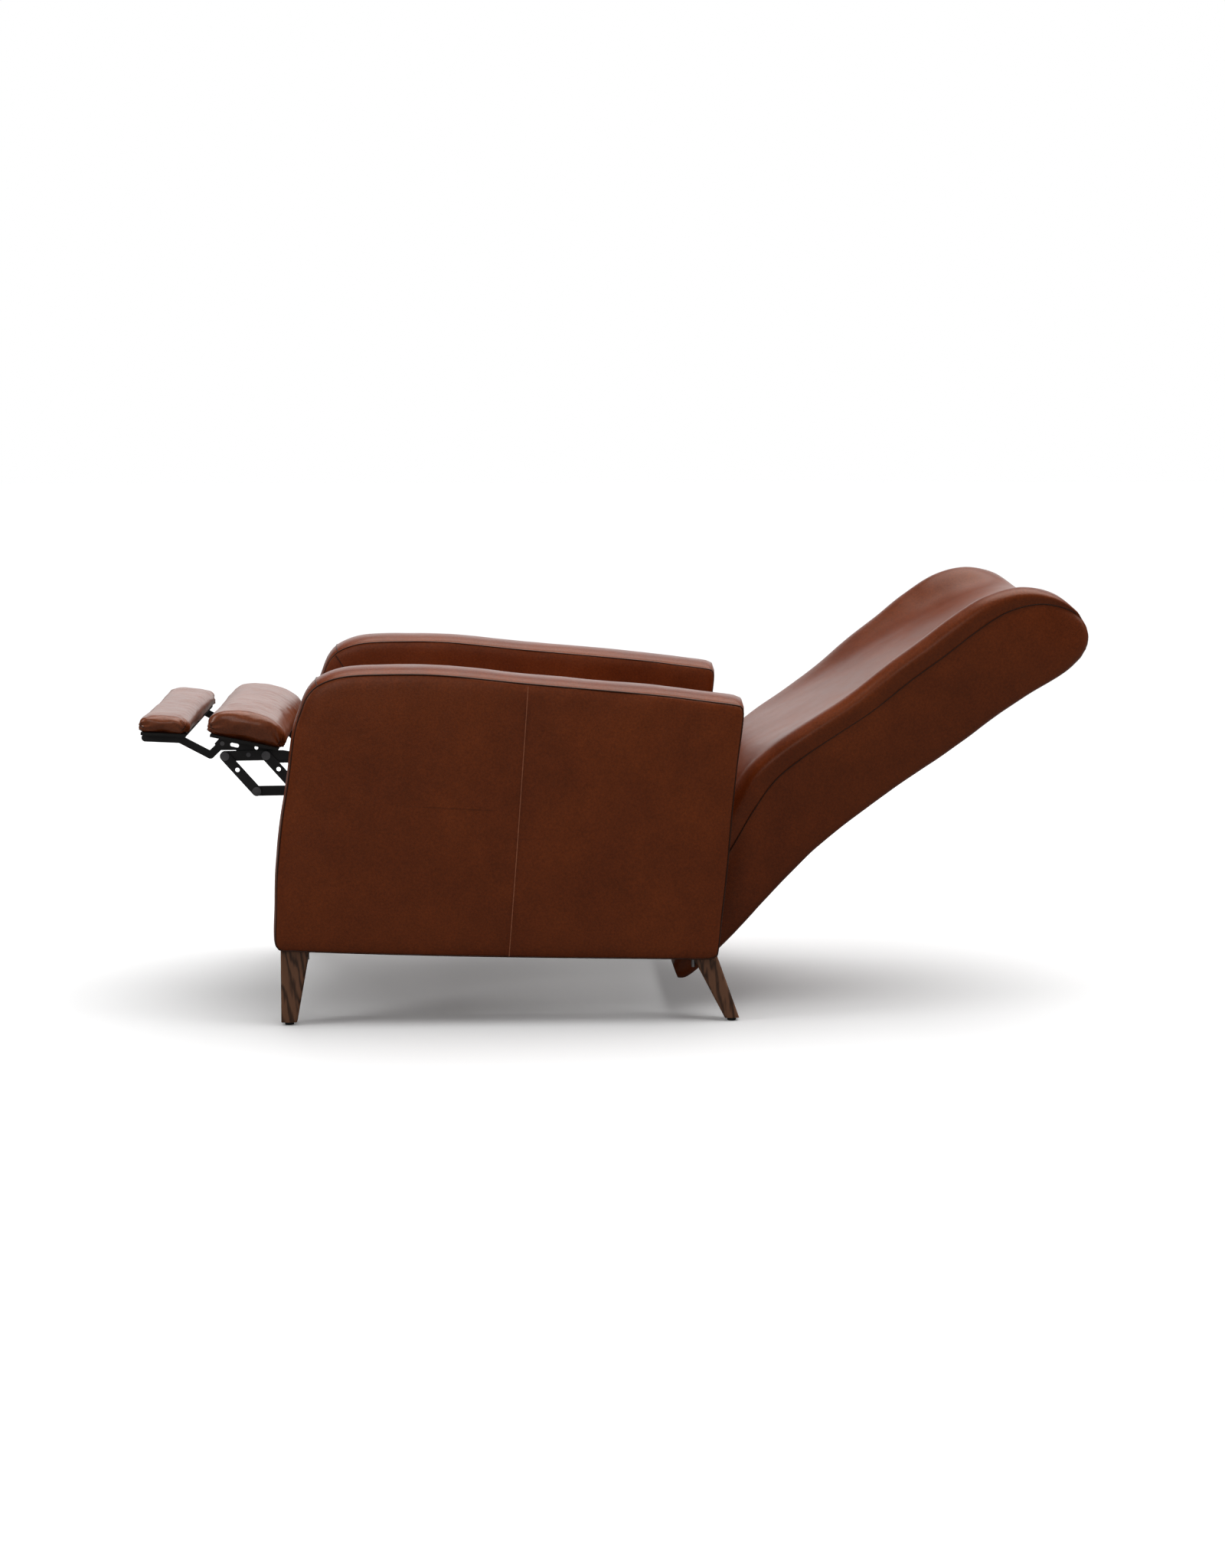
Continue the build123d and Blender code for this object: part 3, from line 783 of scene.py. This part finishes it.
def tilted(centre, tilt, outline):
    turn = math.radians(tilt)
    return [(centre[0] + y * math.cos(turn) + z * math.sin(turn),
             centre[1] - y * math.sin(turn) + z * math.cos(turn)) for y, z in outline]


cushionOutline = [(-0.550, 0.500), (-0.530, 0.4885), (-0.300, 0.465), (0.000, 0.434), (0.085, 0.427),
                  (0.106, 0.440), (0.094, 0.478), (0.000, 0.493), (-0.200, 0.512), (-0.400, 0.531),
                  (-0.500, 0.538), (-0.542, 0.529)]
cushion = softBlock("seat_cushion_leather", cushionOutline, -seat["halfWidth"], seat["halfWidth"], 0.016,
                    chestnutLeather)
inflate(cushion, seat["swell"], seat["pressure"])
ruffle(cushion, 0.0012, 0.09, 7)
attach(cushion, "seat")
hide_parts("seat_cushion")

deckOutline = [(-0.541, 0.404), (-0.541, 0.442), (-0.300, 0.4275), (0.000, 0.409), (0.088, 0.4035),
               (0.086, 0.416), (-0.300, 0.457), (-0.530, 0.480), (-0.548, 0.468), (-0.555, 0.440),
               (-0.550, 0.408)]
deck = softBlock("seat_deck_leather", deckOutline, -0.202, 0.202, 0.006, chestnutLeather)
ruffle(deck, 0.0008, 0.08, 9)
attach(deck, "seat")
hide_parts("seat_deck_pad")

padShape = [(-0.0690, 0.002), (-0.0660, 0.0), (0.0660, 0.0), (0.0690, 0.002), (0.0700, 0.012),
            (0.0690, 0.024), (0.0560, 0.038), (0.0300, 0.0465), (0.0, 0.0490), (-0.0300, 0.0470),
            (-0.0560, 0.0390), (-0.0690, 0.025), (-0.0700, 0.012)]
flapShape = [(-0.0450, 0.002), (-0.0430, 0.0), (0.0430, 0.0), (0.0450, 0.002), (0.0460, 0.009),
             (0.0440, 0.019), (0.0320, 0.0265), (0.0, 0.0290), (-0.0320, 0.0270), (-0.0440, 0.020),
             (-0.0460, 0.009)]
for name, centre, tilt, shape, body, swell in (
    ("legrest_pad", (-0.6585, 0.499), 12.2, padShape, "legrest", 0.007),
    ("toe_flap_pad", (-0.803, 0.514), 3.0, flapShape, "toe_flap", 0.004),
):
    pad = softBlock(f"{name}_leather", tilted(centre, tilt, shape), -legRest["halfWidth"],
                    legRest["halfWidth"], 0.013, padLitLeather, 40)
    inflate(pad, swell, legRest["pressure"], frames=14, voxel=0.004)
    ruffle(pad, 0.0015, 0.05, 11 if body == "legrest" else 13)
    half = max(y for y, _ in shape)
    for end in (-1, 1):
        for side in (-1, 1):
            ends = [(side * half, 0.006), (side * half, 0.016)]
            (cornerY, cornerZ), (topY, topZ) = tilted(centre, tilt, ends)
            pucker(pad, (end * legRest["halfWidth"], cornerY, cornerZ), 0.045, 11, 0.0022)
            # A dark cord along each corner fold: painted shade in the fold crease
            fold = evenLine([(end * 0.246, topY, topZ), (end * 0.246, cornerY - side * 0.012, cornerZ)], 12)
            seam(f"{name}_fold_{'left' if end > 0 else 'right'}_{'rear' if side > 0 else 'front'}",
                 laidOn(pad, fold), body, 0.0009)
    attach(pad, body)
    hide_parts(name)
print("cushions built")
